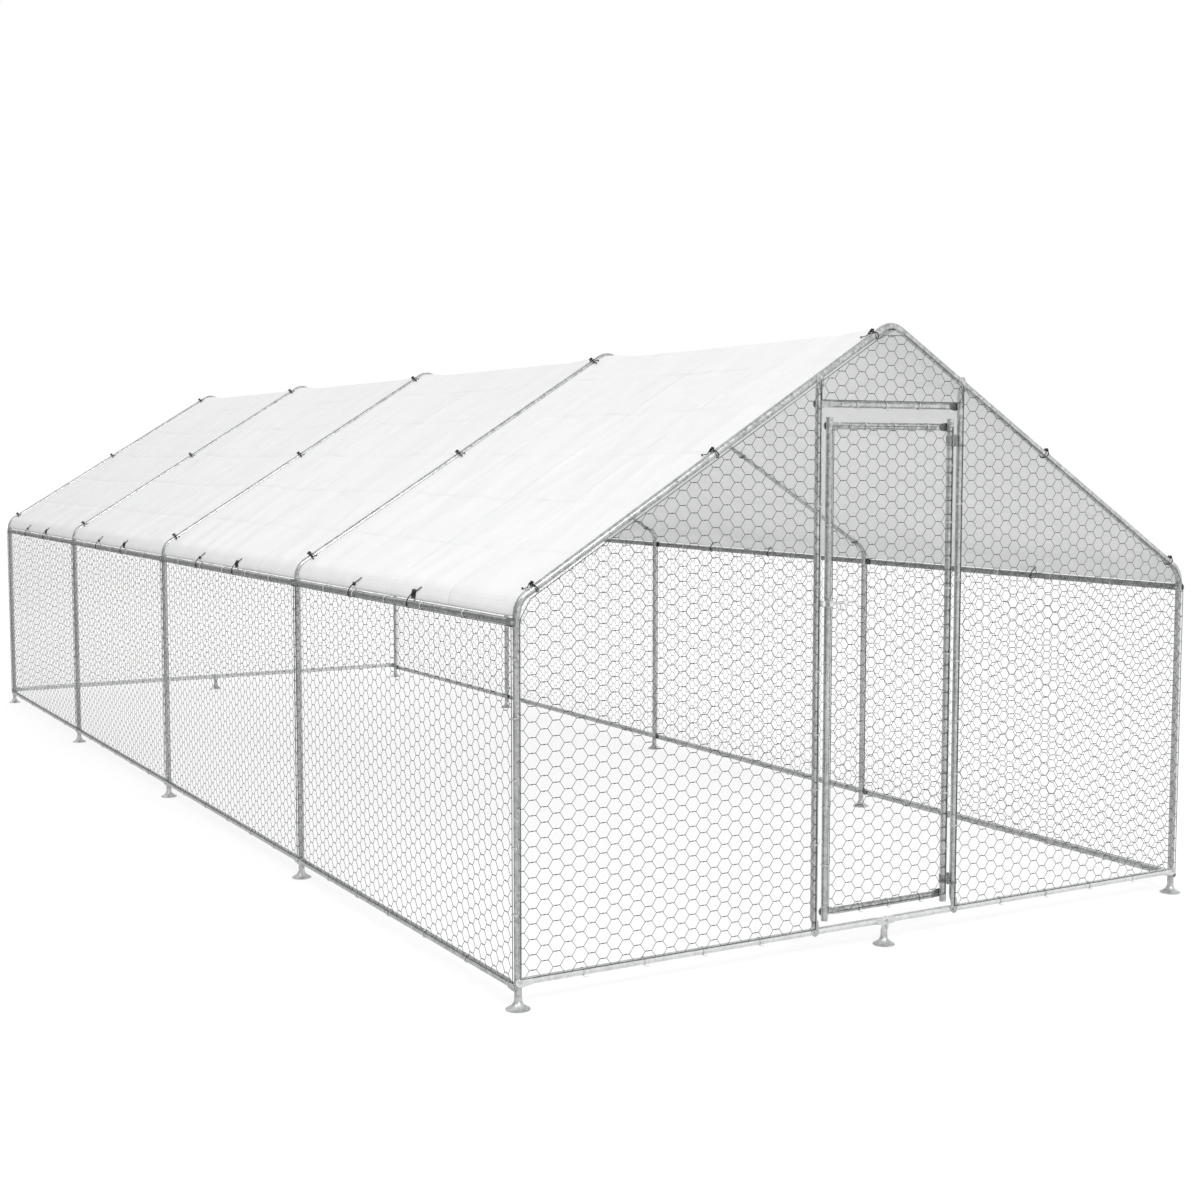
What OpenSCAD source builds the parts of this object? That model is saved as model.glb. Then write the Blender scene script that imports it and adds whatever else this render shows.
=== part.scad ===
// Walk-in chicken run: five tube portal frames on round feet, hexagonal wire netting on every
// wall, four white roof covers tied on with black elastic cords, and a netted door with a bolt.
// The front with the door faces -Y, +X is to the right seen from the front, and the origin is
// on the ground at the middle of the footprint.

/* [Run] */
// Outside width over the posts
run_w = 3000; // [2400:10:3600]
// Outside length over the end posts
run_l = 8000; // [6000:10:10000]
// Height at which the axes of a post and its rafter cross
eave_h = 1310; // [1250:10:1450]
// Height at which the axes of two rafters cross
ridge_h = 2235; // [2190:5:2400]

/* [Tubes] */
// Outside diameter of every tube
tube_d = 25; // [22:0.5:28]
// Wall of every tube
tube_wall = 1; // [0.8:0.1:1.5]
// Radius of a bent elbow, to its centreline
bend_r = 80; // [65:1:110]
// Length of the drawn-in end of a post or rafter inside an elbow
spigot_l = 12; // [8:1:15]
// Room around a drawn-in end
spigot_clear = 0.2; // [0.1:0.05:0.4]
// Thickness of a flattened tube end
tab_t = 2.4; // [2:0.1:3]
// Room between two flattened ends on one bolt
tab_lay = 0.1; // [0.05:0.05:0.2]
// Width of a flattened tube end
tab_w = 30; // [26:1:34]
// Straight flat length between a flattened end's rounding and its crimp
tab_straight = 4; // [2:0.5:10]
// Length over which a tube goes from round to flat
crimp_l = 45; // [35:1:60]
// Diameter of the drain hole in each closed tube
drain_d = 5; // [3:0.5:8]

/* [Feet] */
// Diameter of a foot's disc
foot_d = 80; // [60:1:110]
// Height of a foot's flare, where the tube starts
foot_h = 42; // [35:1:48]
// Thickness of a foot's rim
foot_rim = 3; // [2:0.5:6]

/* [Rails] */
// Height of the side base rails
base_z = 75; // [72:1:100]
// Height of the end base rails above the side ones, so that their bolts miss each other
end_rise = 16; // [14:1:20]
// Distance of the eave rails below the start of the eave bend
eave_drop = 22; // [18:1:30]

/* [Fasteners] */
// Diameter of the bolts
bolt_d = 6; // [5:0.5:7]
// Room around a bolt in its hole
bolt_clear = 0.3; // [0.1:0.1:0.5]
// Diameter of a bolt head
head_d = 11; // [10:0.5:13]
// Height of a bolt head
head_h = 3.5; // [2:0.5:4]
// Width of a nut over its corners
nut_d = 11.5; // [10:0.5:13]
// Height of a nut
nut_h = 5; // [4:0.5:8]
// Length of a screw that bites in one tube wall only
bite = 6; // [4:0.5:9]

/* [Netting] */
// Size of a cell over its flat sides
net_cell = 440; // [420:10:560]
// Width of the strands between two cells
net_bar = 5; // [4:0.5:10]
// Width of a panel's edge strand
net_edge = 5; // [4:0.5:7]
// Thickness of the netting
net_t = 1.6; // [1.4:0.1:2.5]
// Room between the netting and the tube that it lies on
net_clear = 0.3; // [0.1:0.1:0.6]
// Distance of a panel's edge from the axis of the rail along it
net_lap = 11.5; // [11:0.5:13]
// Distance of two panels from the middle of the tube that they share
net_apart = 1; // [0.5:0.5:3]
// Height of a gable panel's upper edge below the rafter's axis
gable_drop = 16; // [16:0.5:20]
// Wire of the ties that hold the netting to the tubes
net_tie_d = 2.4; // [1.5:0.1:3]

/* [Covers] */
// Thickness of a cover
cover_t = 1; // [0.8:0.1:2]
// Room between a cover's edge and the rafter beside it
cover_clear = 0.5; // [0.3:0.1:0.8]
// Height of a cover's middle above the rafters' axes
cover_mid = 0; // [-2:0.5:3]
// Height of a cover's hem above the flattened ends of the eave rails
hem_gap = 1.5; // [1:0.5:5]
// Hole through an eyelet
eyelet_bore = 8; // [7:0.5:9]
// Outside diameter of an eyelet's flanges
eyelet_d = 16; // [14:0.5:18]
// Distance of an eyelet's flange from the cover's edge
eyelet_edge = 0.3; // [0.2:0.1:1]
// Thickness of an eyelet's metal
eyelet_wall = 0.6; // [0.4:0.1:0.8]
// Diameter of the elastic ties
tie_d = 4; // [3:0.5:5]
// Distance of the lowest rafter ties from the eave, along the rafter
low_tie_s = 75; // [65:5:250]
// Distance of the highest rafter ties from the ridge elbow
ridge_tie_gap = 40; // [30:5:80]
// Side of the square black tabs at the eave
buckle_w = 34; // [28:1:40]
// Thickness of the black tabs
buckle_t = 2; // [1.5:0.1:3]

/* [Door] */
// Distance of each door post from the middle of the gable
door_x = 320; // [280:5:400]
// Distance between the axes of a door post and the door stile beside it
door_gap = 47; // [46:0.5:54]
// Height of the header above the door
header_z = 1945; // [1900:5:1950]
// Height of the door's top rail
leaf_top_z = 1870; // [1800:5:1875]
// Height of the door's bottom rail
leaf_bottom_z = 155; // [150:5:200]
// Length of the stiles beyond the door's rails
stile_end = 30; // [26:1:34]
// Diameter of the rivets in the door's corners
rivet_d = 4.8; // [4:0.2:6]
// Diameter of the hinge pins
pin_d = 8; // [6:0.5:9]
// Running clearance of a hinge eye on its pin, all round
pin_clear = 0.05; // [0.03:0.01:0.1]
// Wall of a hinge eye
eye_wall = 3; // [2:0.5:3.5]
// Height of a hinge eye
eye_h = 30; // [24:1:40]
// Height of a hinge pintle's arm
arm_h = 10; // [8:1:14]
// Thickness of the bands round the tubes
band_t = 2.5; // [2:0.1:3]
// Height of the bolt above the ground
latch_z = 1255; // [1000:5:1400]
// Diameter of the bolt
latch_d = 10; // [8:0.5:12]
// Running clearance of the bolt in its guide, all round
latch_clear = 0.1; // [0.05:0.01:0.15]
// Room on each side of the bolt in its keeper's square eye
keeper_clear = 0.8; // [0.5:0.1:1.5]
// Travel of the bolt
latch_travel = 30; // [28:1:32]
// Wall of the bolt's guide and keeper
latch_wall = 5; // [4:0.5:6]
// Reach of the guide and the keeper towards each other, from the axes of their tubes
latch_reach = 14; // [13:0.5:16]
// Length of the guide
guide_l = 20; // [16:1:24]
// Distance of the bolt in front of the door's netting
latch_gap = 0.7; // [0.5:0.1:2]
// Outside radius of the bolt's pull ring
ring_r = 15; // [12:1:18]
// Thickness of the pull ring
ring_d = 5; // [4:0.5:6]

/* [Hidden] */
$fn = 48;
bays = 4;
frames = bays + 1;
sides = ["left", "right"];

// Rounding room between tube and band
fit = 0.15;
tube_r = tube_d / 2;
tube_id = tube_d - 2 * tube_wall;
hole_d = bolt_d + 2 * bolt_clear;
thread_out = 1;

// Plan and pitch of the frames
post_x = run_w / 2 - tube_r;
end_y = run_l / 2 - tube_r;
pitch = 2 * end_y / bays;
slope = atan((ridge_h - eave_h) / post_x);
rafter_l = post_x / cos(slope);
eave_tan = bend_r * tan((90 - slope) / 2);
ridge_tan = bend_r * tan(slope);
eave_c = [-post_x + bend_r, eave_h - eave_tan];
ridge_c = [0, ridge_h - bend_r / cos(slope)];
spigot_d = tube_id - 2 * (spigot_clear + pow(spigot_l, 2) / (2 * bend_r));

// Rails: the flattened ends of two bays lie on each other on the outside of a post
tab_in = tube_r - 2 * tab_t - tab_lay;
tab_out = tube_r - tab_t;
rail_out = tube_r - tab_in;
tab_reach = tab_w / 2 + tab_straight;
end_z = base_z + end_rise;
eave_z = eave_c[1] - eave_drop;
ridge_tab_z = ridge_c[1] + sqrt(pow(bend_r - tube_r, 2) - pow(tab_w / 2, 2)) - fit;

// Door plane: each layer lies on the one behind it
front_rail_y = -end_y - rail_out;
door_post_y = front_rail_y - tube_r + tab_out;
cross_rail_y = door_post_y + tab_t;
stile_x = door_x - door_gap;
hinge_x = door_x - door_gap / 2;
stile_z0 = leaf_bottom_z - stile_end;
stile_z1 = leaf_top_z + stile_end;
door_rafter_z = eave_h + (post_x - door_x) * tan(slope);
rivet_head_d = 2 * rivet_d;
rivet_head_h = 2;
band_d = tube_d + 2 * fit;
hinge_zs = [leaf_bottom_z + tab_w, leaf_top_z - tab_w - arm_h - eye_h];

// A cell is cut if its middle lies less than this share of a cell outside its panel
net_reach = 0.45;

// Netting planes, measured from the post axis
side_net = rail_out + tube_r + net_clear;
front_net = -end_y - door_post_y + tube_r + net_clear;

// Covers
cover_slot = tube_d + 2 * cover_clear;
cover_in = cover_mid - cover_t / 2;
hem_z = eave_z + tab_w / 2 + hem_gap;
eave_tie_r = tube_r + tie_d / 2 + 2 * fit;

// A rafter's tie runs under the tube and through the eyelets on both sides of it
tie_side = cover_slot / 2 + eyelet_edge + eyelet_d / 2;
tie_depth = cover_mid + eave_tie_r;
rafter_tie_r = (pow(tie_side, 2) + pow(tie_depth, 2)) / (2 * tie_depth);
tie_up = rafter_tie_r - eave_tie_r;
eave_tie_angle = 170;
eyelet_at = eave_c + (bend_r + cover_mid) * [cos(eave_tie_angle), sin(eave_tie_angle)];
eave_tie_rise = eyelet_at[1] - eave_z
    - sqrt(pow(eave_tie_r, 2) - pow(eyelet_at[0] + post_x + rail_out, 2));
bend_sag = pow(eyelet_d / 2, 2) / (2 * (bend_r + cover_in));
plain_tie = 0.68;
buckle_tie = 0.4;
eave_ties = [plain_tie, buckle_tie];
rafter_ties = [low_tie_s, rafter_l / 2];
ridge_tie_s = rafter_l - ridge_tan - ridge_tie_gap;

// Latch: bolt in front of the door netting
latch_y = door_post_y - tube_r - net_clear - net_t - latch_d / 2 - latch_gap;
latch_block = latch_d + 2 * latch_wall;
guide_x0 = -stile_x - latch_reach;
guide_x1 = guide_x0 + guide_l;
keeper_x1 = -door_x + latch_reach;
nose_out = 1;
nose_x = guide_x0 - nose_out;
ring_x = guide_x1 + latch_travel + ring_r + 2 * nose_out;
latch_l = ring_x + latch_d / 2 - nose_x;

function frame_y(i) = -end_y + i * pitch;
function stack_h(i) = i == 0 || i == bays ? tab_t : 2 * tab_t + tab_lay;
function arc(c, r, a0, a1, n = 8) =
    [for (k = [0:n]) c + r * [cos(a0 + (a1 - a0) * k / n), sin(a0 + (a1 - a0) * k / n)]];
function mirrored(pts) = [for (k = [len(pts) - 1:-1:0]) [-pts[k][0], pts[k][1]]];
function gable_z(x) = eave_h + (post_x - abs(x)) * tan(slope) - gable_drop;

// Convex outlines run anticlockwise; each edge has its outward normal
function normal(p, q) = [q[1] - p[1], p[0] - q[0]] / norm(q - p);
function edge(pts, k) = normal(pts[k], pts[(k + 1) % len(pts)]);
function inset(pts, d) = [for (k = [0:len(pts) - 1])
    let (a = edge(pts, (k + len(pts) - 1) % len(pts)), b = edge(pts, k))
    pts[k] - d * (a + b) / (1 + a * b)];
function depth(pts, c) = min([for (k = [0:len(pts) - 1]) (pts[k] - c) * edge(pts, k)]);

// Placing

module on_side(s) {
    if (s == "left") mirror([1, 0, 0]) children();
    else children();
}

module on_end(e) {
    if (e == "back") mirror([0, 1, 0]) children();
    else children();
}

// Local X runs up the left rafter, local Z is square to the roof
module on_rafter(i, s) {
    translate([-post_x + s * cos(slope), frame_y(i), eave_h + s * sin(slope)])
        rotate([0, -slope, 0]) children();
}

// Local Z points out of the left cover at its eave eyelets
module on_eave_cover(i, share) {
    translate([eyelet_at[0], frame_y(i) + share * pitch, eyelet_at[1]])
        rotate([0, 90 - eave_tie_angle, 0]) children();
}

// Tube shapes, along +Z, with flattened ends on the +X side

module tube(l) {
    difference() {
        cylinder(d = tube_d, h = l);
        translate([0, 0, -1]) cylinder(d = tube_id, h = l + 2);
    }
}

module flat_end(a, l = crimp_l) {
    translate([a, 0, 0]) rotate([90, 0, 90]) linear_extrude(tab_t) {
        circle(d = tab_w);
        translate([-tab_w / 2, 0]) square([tab_w, tab_reach]);
    }
    intersection() {
        translate([0, 0, tab_reach]) cylinder(d = tube_d, h = l);
        crimp_side(a, l);
    }
    intersection() {
        crimp_side(a, l);
        rotate([90, 0, 90]) linear_extrude(2 * tube_d, center = true)
            polygon([[-tab_w / 2, tab_reach], [tab_w / 2, tab_reach],
                     [tube_r * 0.9, tab_reach + l / 2], [-tube_r * 0.9, tab_reach + l / 2]]);
    }
}

module crimp_side(a, l) {
    rotate([90, 0, 0]) linear_extrude(2 * tab_w, center = true)
        polygon([[a, tab_reach], [a + tab_t, tab_reach],
                 [tube_r, tab_reach + l], [-tube_r, tab_reach + l]]);
}

// Tube with both ends flattened; l is the distance between its bolt holes
module rail(l, a0, a1) {
    round_z = tab_reach + crimp_l;
    difference() {
        union() {
            flat_end(a0);
            translate([0, 0, round_z]) cylinder(d = tube_d, h = l - 2 * round_z);
            translate([0, 0, l]) mirror([0, 0, 1]) flat_end(a1);
        }
        translate([0, 0, round_z]) cylinder(d = tube_id, h = l - 2 * round_z);
        for (z = [0, l]) translate([-tube_d, 0, z]) rotate([0, 90, 0]) cylinder(d = hole_d, h = 2 * tube_d);
        translate([0, 0, round_z + tube_d]) rotate([0, -90, 0]) cylinder(d = drain_d, h = tube_d);
    }
}

module side_rail(l, a0, a1) { rotate([-90, 0, 0]) rail(l, a0, a1); }
module end_rail(l, a0, a1) { rotate([-90, 0, 0]) rotate([0, 90, 0]) rail(l, a0, a1); }
module upright_rail(l, a0, a1) { rotate([0, 0, -90]) rail(l, a0, a1); }

// End at the origin, drawn in so that it plugs into an elbow above it
module drawn_end() {
    neck = 3;
    translate([0, 0, -neck]) difference() {
        union() {
            cylinder(d = (tube_d + tube_id) / 2, h = neck);
            cylinder(d = spigot_d, h = neck + spigot_l);
        }
        translate([0, 0, -1]) cylinder(d = spigot_d - 2 * tube_wall, h = neck + spigot_l + 2);
    }
}

// Bent tube round the Y axis, from one angle to the other in the XZ plane
module elbow(from, to) {
    rotate([90, 0, 0]) rotate([0, 0, from]) rotate_extrude(angle = to - from)
        translate([bend_r, 0]) difference() {
            circle(d = tube_d);
            circle(d = tube_id);
        }
}

module cross_hole(axis, z) {
    translate([0, 0, z]) rotate(axis == "x" ? [0, 90, 0] : [90, 0, 0])
        cylinder(d = hole_d, h = 2 * tube_d, center = true);
}

// Frame

module post(i) {
    color("#8f9696") translate([post_x, frame_y(i), 0]) difference() {
        union() {
            translate([0, 0, foot_h]) tube(eave_c[1] - foot_h);
            translate([0, 0, eave_c[1]]) drawn_end();
        }
        cross_hole("x", base_z);
        cross_hole("x", eave_z);
        if (i == 0 || i == bays) cross_hole("y", end_z);
    }
}

module rafters() {
    l = rafter_l - eave_tan - ridge_tan;
    color("#8f9696") for (i = [0:bays]) difference() {
        on_rafter(i, eave_tan) rotate([0, 90, 0]) {
            tube(l);
            mirror([0, 0, 1]) drawn_end();
            translate([0, 0, l]) drawn_end();
        }
        if (i == 0) translate([-door_x, -end_y, door_rafter_z]) rotate([90, 0, 0])
            cylinder(d = hole_d, h = tube_d);
    }
}

module eave_elbows() {
    color("#8f9696") for (s = sides, i = [0:bays]) on_side(s)
        translate([-eave_c[0], frame_y(i), eave_c[1]]) elbow(0, 90 - slope);
}

module ridge_elbows() {
    color("#8f9696") for (i = [0:bays]) translate([0, frame_y(i), ridge_c[1]]) difference() {
        elbow(90 - slope, 90 + slope);
        cylinder(d = hole_d, h = bend_r);
    }
}

// One rail per bay; the last rail's back end lies straight on its post
module rails_along(z) {
    color("#8f9696") for (i = [0:bays - 1])
        translate([post_x + rail_out, frame_y(i), z])
            side_rail(pitch, tab_in, i == bays - 1 ? tab_in : tab_out);
}

// A ridge pole hangs by its flattened ends below the elbows
module ridge_poles() {
    color("#8f9696") for (i = [0:bays - 1])
        translate([0, frame_y(i), ridge_tab_z - tube_r]) rotate([0, -90, 0])
            side_rail(pitch, tab_out, i == bays - 1 ? tab_out : tab_in);
}

module end_base_rails(e) {
    color("#d4d8d8") on_end(e) difference() {
        union() {
            translate([-post_x, front_rail_y, end_z]) end_rail(post_x, tab_in, tab_out);
            translate([0, front_rail_y, end_z]) end_rail(post_x, tab_in, tab_in);
        }
        if (e == "front") for (x = [-door_x, door_x])
            translate([x, front_rail_y, 0]) cross_hole("y", end_z);
    }
}

// Feet

module foot_flare() {
    steps = 10;
    rotate_extrude() polygon(concat([[0, 0], [foot_d / 2, 0]],
        [for (k = [0:steps]) let (t = k / steps)
            [tube_r + (foot_d / 2 - tube_r) * pow(1 - t, 3), foot_rim + (foot_h - foot_rim) * t]],
        [[0, foot_h]]));
}

module post_feet() {
    plug_d = tube_id - 2 * spigot_clear;
    color("#b9bfbf") for (s = sides, i = [0:bays]) on_side(s) translate([post_x, frame_y(i), 0])
        difference() {
            union() {
                foot_flare();
                translate([0, 0, foot_h - 1]) cylinder(d = plug_d, h = end_z + bolt_d * 2 - foot_h);
            }
            cross_hole("x", base_z);
            cross_hole("y", end_z);
        }
}

module middle_feet() {
    neck = end_z - tab_reach - foot_h;
    color("#b9bfbf") for (e = ["front", "back"]) on_end(e) translate([0, front_rail_y, 0])
        difference() {
            union() {
                foot_flare();
                translate([0, 0, end_z]) rotate([0, 0, -90]) mirror([0, 0, 1])
                    flat_end(tab_in - tab_t, neck);
            }
            cross_hole("y", end_z);
        }
}

// Door gable

module door_post(x) {
    color("#8f9696") translate([x, door_post_y, end_z]) difference() {
        upright_rail(door_rafter_z - end_z, tab_out, end_y + tube_r + door_post_y);
        translate([0, 0, -end_z]) cross_hole("y", header_z);
    }
}

module door_header() {
    color("#8f9696") translate([-door_x, cross_rail_y, header_z]) mirror([0, 1, 0])
        end_rail(2 * door_x, tab_out, tab_out);
}

// Door leaf

module door_stile(x) {
    color("#8f9696") translate([x, door_post_y, stile_z0]) difference() {
        tube(stile_z1 - stile_z0);
        for (z = [leaf_bottom_z, leaf_top_z]) translate([0, 0, z - stile_z0]) rotate([-90, 0, 0])
            cylinder(d = hole_d, h = tube_d);
    }
}

module door_rail(z) {
    color("#8f9696") translate([-stile_x, cross_rail_y, z]) mirror([0, 1, 0])
        end_rail(2 * stile_x, tab_out, tab_out);
}

module door_rivets() {
    color("#c4c8c8") for (x = [-stile_x, stile_x], z = [leaf_bottom_z, leaf_top_z])
        translate([x, door_post_y + tube_r + tab_t, z]) rotate([90, 0, 0]) {
            translate([0, 0, -rivet_head_h]) cylinder(d = rivet_head_d, h = rivet_head_h);
            cylinder(d = rivet_d, h = tab_t + bite);
        }
}

// Netting: a closed outline with cells cut out of it, each column half a cell higher than the last

module netting(pts) {
    inner = inset(pts, net_edge);
    low = [min([for (p = pts) p[0]]), min([for (p = pts) p[1]])];
    high = [max([for (p = pts) p[0]]), max([for (p = pts) p[1]])];
    step = net_cell * cos(30);
    columns = ceil((high[0] - low[0]) / 2 / step);
    rows = ceil((high[1] - low[1]) / 2 / net_cell);
    gap_d = (net_cell - net_bar) / cos(30);
    color("#7d8780") linear_extrude(net_t) difference() {
        polygon(pts);
        intersection() {
            polygon(inner);
            for (i = [-columns:columns], j = [-rows:rows]) {
                c = (low + high) / 2 + [i * step, (j + abs(i % 2) / 2) * net_cell];
                if (depth(inner, c) > -net_reach * net_cell) translate(c) circle(d = gap_d, $fn = 6);
            }
        }
    }
}

function box(x0, z0, x1, z1) = [[x0, z0], [x1, z0], [x1, z1], [x0, z1]];

module side_net(i) {
    translate([post_x + side_net, 0, 0]) rotate([90, 0, 90])
        netting(box(frame_y(i) + net_apart, base_z + net_lap,
            frame_y(i + 1) - net_apart, eave_z - net_lap));
}

module end_net(pts, out = front_net) {
    translate([0, -end_y - out, 0]) rotate([90, 0, 0]) netting(pts);
}

// Gable corner at the eave, cut off along the bend
gable_x = post_x + net_apart;
eave_corner = [[-post_x + eave_tan * cos(slope), eave_h + eave_tan * sin(slope) - gable_drop],
               [-gable_x, eave_c[1] - gable_drop]];

module net_front_side() {
    x = door_x + net_apart;
    low_z = end_z + net_lap;
    end_net(concat([[-gable_x, low_z], [-x, low_z], [-x, gable_z(x)]], eave_corner));
}

module net_front_top() {
    x = door_x - net_apart;
    z = header_z + tube_r + net_clear;
    end_net([[-x, z], [x, z], [x, gable_z(x)], [ridge_tan, gable_z(ridge_tan)],
        [-ridge_tan, gable_z(ridge_tan)], [-x, gable_z(x)]]);
}

// No door post stands at the back, so the netting lies on the corner posts, above the base rail
module net_back() {
    low_z = end_z + tab_w / 2 + net_clear;
    half = concat([[-ridge_tan, gable_z(ridge_tan)]], eave_corner, [[-gable_x, low_z]]);
    mirror([0, 1, 0]) end_net(concat(half, mirrored(half)), tube_r + net_clear);
}

module door_net() {
    end_net(box(guide_x1 + 2 * net_apart, leaf_bottom_z, stile_x, leaf_top_z));
}

// Roof covers

cover_lines = [for (r = [bend_r + cover_in + cover_t, bend_r + cover_in])
    concat([[eave_c[0] - r, hem_z]], arc(eave_c, r, 180, 90 + slope),
        arc(ridge_c, r, 90 + slope, 90 - slope), arc([-eave_c[0], eave_c[1]], r, 90 - slope, 0),
        [[r - eave_c[0], hem_z]])];

module cover_holes(i) {
    d = eyelet_bore + 2 * eyelet_wall + 2 * fit;
    for (side = sides) on_side(side == "left" ? "right" : "left") {
        for (s = rafter_ties) {
            on_rafter(i, s) translate([0, tie_side, 0]) cylinder(d = d, h = tube_d, center = true);
            on_rafter(i + 1, s) translate([0, -tie_side, 0]) cylinder(d = d, h = tube_d, center = true);
        }
        for (f = eave_ties) on_eave_cover(i, f) cylinder(d = d, h = tube_d, center = true);
    }
    on_rafter(i, ridge_tie_s) translate([0, tie_side, 0]) cylinder(d = d, h = tube_d, center = true);
    on_rafter(i + 1, ridge_tie_s) translate([0, -tie_side, 0]) cylinder(d = d, h = tube_d, center = true);
}

module cover(i) {
    color("#f2f3f1") difference() {
        translate([0, frame_y(i + 1) - cover_slot / 2, 0]) rotate([90, 0, 0])
            linear_extrude(pitch - cover_slot)
                polygon(concat(cover_lines[0], [for (k = [len(cover_lines[1]) - 1:-1:0]) cover_lines[1][k]]));
        cover_holes(i);
    }
}

// Eyelet: a barrel through the cover with a flange on both faces, the inner one lower on a bend
module eyelet(lower = 0) {
    high = cover_t / 2 + fit;
    low = -high - lower;
    rotate_extrude() translate([eyelet_bore / 2, 0]) {
        translate([0, low]) square([eyelet_wall, high - low]);
        for (z = [low - eyelet_wall, high]) translate([0, z])
            square([(eyelet_d - eyelet_bore) / 2, eyelet_wall]);
    }
}

module rafter_eyelets(i, s) {
    on_rafter(i, s) {
        if (i < bays) translate([0, tie_side, cover_mid]) eyelet();
        if (i > 0) translate([0, -tie_side, cover_mid]) eyelet();
    }
}

module cover_eyelets() {
    color("#c9cccb") {
        for (side = sides) on_side(side == "left" ? "right" : "left") {
            for (i = [0:bays], s = rafter_ties) rafter_eyelets(i, s);
            for (i = [0:bays - 1], f = eave_ties) on_eave_cover(i, f) eyelet(bend_sag);
        }
        for (i = [0:bays]) rafter_eyelets(i, ridge_tie_s);
    }
}

module rafter_tie(i, s) {
    on_rafter(i, s) translate([0, 0, tie_up]) rotate([0, 90, 0])
        rotate_extrude() translate([rafter_tie_r, 0]) circle(d = tie_d, $fn = 16);
}

// Loop round the eave rail and through the cover's eyelet
module eave_tie(i, share) {
    translate([-post_x - rail_out, frame_y(i) + share * pitch, eave_z]) rotate([90, 0, 0]) {
        for (k = [0, 1]) translate([0, k * eave_tie_rise]) rotate([0, 0, k * 180])
            rotate([0, 0, 180]) rotate_extrude(angle = 180) translate([eave_tie_r, 0])
                circle(d = tie_d, $fn = 16);
        for (x = [-eave_tie_r, eave_tie_r]) translate([x, 0, 0]) rotate([-90, 0, 0])
            cylinder(d = tie_d, h = eave_tie_rise, $fn = 16);
    }
}

module cover_ties() {
    color("#1d1e1f") {
        for (side = sides) on_side(side == "left" ? "right" : "left") {
            for (i = [0:bays], s = rafter_ties) rafter_tie(i, s);
            for (i = [0:bays - 1], f = eave_ties) eave_tie(i, f);
        }
        for (i = [0:bays]) rafter_tie(i, ridge_tie_s);
    }
}

module cover_buckles() {
    color("#232425") for (side = sides) on_side(side == "left" ? "right" : "left")
        for (i = [0:bays - 1]) on_eave_cover(i, buckle_tie) translate([0, 0, cover_t / 2])
            difference() {
                translate([-buckle_w / 2, -buckle_w / 2, 0]) cube([buckle_w, buckle_w, buckle_t]);
                translate([0, 0, -1]) cylinder(d = eyelet_d + 4 * fit, h = buckle_t + 2);
            }
}

// Wire rings that hold the netting's edges to the posts

// Just clears the tube behind, and the edge strands of two panels in front
module net_tie(net_out) {
    near = tube_r + fit;
    far = net_out + net_t + fit;
    wide = net_apart + net_edge + fit;
    c = (pow(far, 2) + pow(wide, 2) - pow(near, 2)) / (2 * (near + far));
    translate([c, 0, 0]) rotate_extrude() translate([c + near + net_tie_d / 2, 0])
        circle(d = net_tie_d, $fn = 16);
}

module net_ties() {
    net_tie_zs = [for (f = [0.2, 0.57, 0.9]) base_z + f * (eave_z - base_z)];
    door_tie_zs = [for (f = [0.17, 0.38, 0.81]) end_z + f * (header_z - end_z)];
    color("#c9cccb") {
        for (s = sides, i = [0:bays], z = net_tie_zs) on_side(s)
            translate([post_x, frame_y(i), z]) net_tie(side_net);
        for (x = [-door_x, door_x], z = door_tie_zs)
            translate([x, door_post_y, z]) rotate([0, 0, -90]) net_tie(tube_r + net_clear);
    }
}

// Bolts and nuts, pointing along +Z from under the head

module bolt(l) {
    translate([0, 0, -head_h]) cylinder(d = head_d, h = head_h);
    cylinder(d = bolt_d, h = l);
}

module nut(grip) {
    translate([0, 0, grip]) difference() {
        cylinder(d = nut_d, h = nut_h, $fn = 6);
        translate([0, 0, -1]) cylinder(d = bolt_d + fit, h = nut_h + 2);
    }
}

module fastener(part, grip) {
    if (part == "bolts") bolt(grip + nut_h + thread_out);
    else nut(grip);
}

module fasteners(part) {
    color("#a9aeae") {
        for (s = sides, i = [0:bays], z = [base_z, eave_z]) on_side(s)
            translate([post_x + tube_r + stack_h(i), frame_y(i), z]) rotate([0, -90, 0])
                fastener(part, tube_d + stack_h(i));
        for (e = ["front", "back"]) on_end(e) {
            for (x = [-post_x, post_x]) translate([x, -end_y - tube_r - tab_t, end_z])
                rotate([-90, 0, 0]) fastener(part, tube_d + tab_t);
            translate([0, -end_y - tube_r - stack_h(1), end_z]) rotate([-90, 0, 0])
                fastener(part, stack_h(1) + tab_t);
        }
        for (x = [-door_x, door_x]) translate([x, front_rail_y - tube_r - tab_t, end_z])
            rotate([-90, 0, 0]) fastener(part, tube_d + tab_t);
    }
}

module frame_bolts() {
    fasteners("bolts");
    color("#a9aeae") {
        for (i = [0:bays]) translate([0, frame_y(i), ridge_tab_z - stack_h(i)])
            bolt(stack_h(i) + bite);
        for (x = [-door_x, door_x]) {
            translate([x, -end_y - tube_r - tab_t, door_rafter_z]) rotate([-90, 0, 0]) bolt(tab_t + bite);
            translate([x, door_post_y + tube_r + tab_t, header_z]) rotate([90, 0, 0]) bolt(tab_t + bite);
        }
    }
}

// Hinges: pins on the right door post, eyes on the door

// What is cut out of a band: the tube's room, and the front, where the netting's edge lies
module band_room(h) {
    translate([0, 0, -1]) cylinder(d = band_d, h = h + 2);
    translate([-tube_d, -tube_r - tube_d, -1]) cube([2 * tube_d, tube_d, h + 2]);
}

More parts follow.
